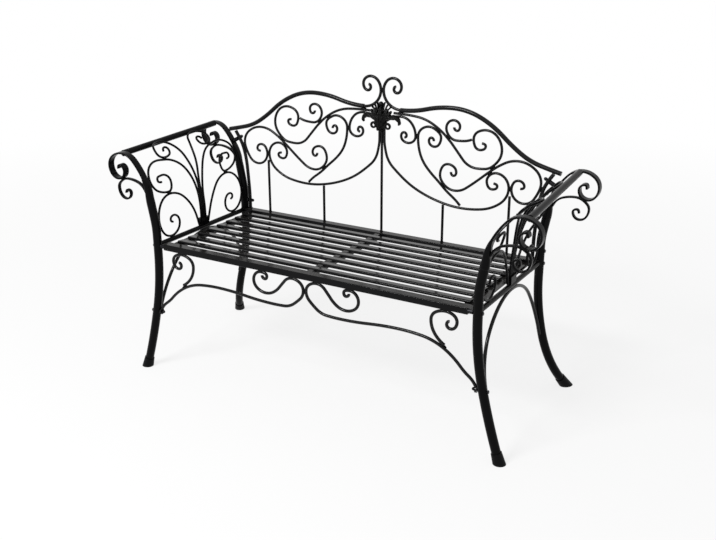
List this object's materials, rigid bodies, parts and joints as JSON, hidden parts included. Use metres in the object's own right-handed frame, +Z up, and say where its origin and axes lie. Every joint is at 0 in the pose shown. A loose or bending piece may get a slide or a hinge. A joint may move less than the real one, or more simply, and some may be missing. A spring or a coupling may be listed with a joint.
{
  "type": "garden bench",
  "caption": "Black wrought iron garden bench with scrolled arms, a slatted seat, a scrollwork back with a cast crest ornament and a scrolled front apron.",
  "frame": {"origin": "on the floor, in the middle of the bench's bounding box, midway between the feet", "axes": "+X along the bench to the right of a viewer who faces its front, +Y from the front to the back, +Z up"},
  "size_m": [1.36, 0.5569, 0.9015],
  "materials": {
    "frame_metal": "semi-gloss black powder coat on steel tube, strap and rod",
    "seat_metal": "semi-gloss black powder coat on flat hollow slats and rails",
    "casting": "semi-gloss black powder coat on a cast ornament",
    "fasteners": "black coated steel bolts, cap nuts and spacers",
    "foot_caps": "moulded black foot caps"
  },
  "bodies": {
    "root": {"apron_bolts": "fasteners", "apron_branch_left": "frame_metal", "apron_branch_right": "frame_metal", "apron_stretcher_left": "frame_metal", "apron_stretcher_right": "frame_metal", "arm_rail_left": "frame_metal", "arm_rail_right": "frame_metal", "back_bolts": "fasteners", "back_lower_scroll_left": "frame_metal", "back_lower_scroll_right": "frame_metal", "branch_scrolls": "frame_metal", "cap_nuts": "fasteners", "centre_bar": "seat_metal", "centre_upright": "frame_metal", "drape_left": "frame_metal", "drape_right": "frame_metal", "end_bar_left": "seat_metal", "end_bar_right": "seat_metal", "fan_collars": "frame_metal", "fan_low_left": "frame_metal", "fan_low_right": "frame_metal", "fan_middle_left": "frame_metal", "fan_middle_right": "frame_metal", "fan_top_left": "frame_metal", "fan_top_right": "frame_metal", "finial_left": "frame_metal", "finial_right": "frame_metal", "foot_caps": "foot_caps", "front_arm_scroll_left": "frame_metal", "front_arm_scroll_right": "frame_metal", "front_leg_left": "frame_metal", "front_leg_right": "frame_metal", "front_lower_scroll_left": "frame_metal", "front_lower_scroll_right": "frame_metal", "front_rail": "seat_metal", "heart_scroll_left": "frame_metal", "heart_scroll_right": "frame_metal", "leg_arch_left": "frame_metal", "leg_arch_right": "frame_metal", "rear_arm_scroll_left": "frame_metal", "rear_arm_scroll_right": "frame_metal", "rear_leg_left": "frame_metal", "rear_leg_right": "frame_metal", "rear_lower_scroll_left": "frame_metal", "rear_lower_scroll_right": "frame_metal", "rear_rail": "seat_metal", "rosette": "casting", "rosette_scrolls": "frame_metal", "seat_bolts": "fasteners", "seat_slats": "seat_metal", "side_rail_left": "frame_metal", "side_rail_right": "frame_metal", "side_uprights": "frame_metal", "spacers": "fasteners", "stile_left": "frame_metal", "stile_right": "frame_metal", "top_rail_left": "frame_metal", "top_rail_right": "frame_metal", "upper_scroll_left": "frame_metal", "upper_scroll_right": "frame_metal"}
  },
  "joints": []
}
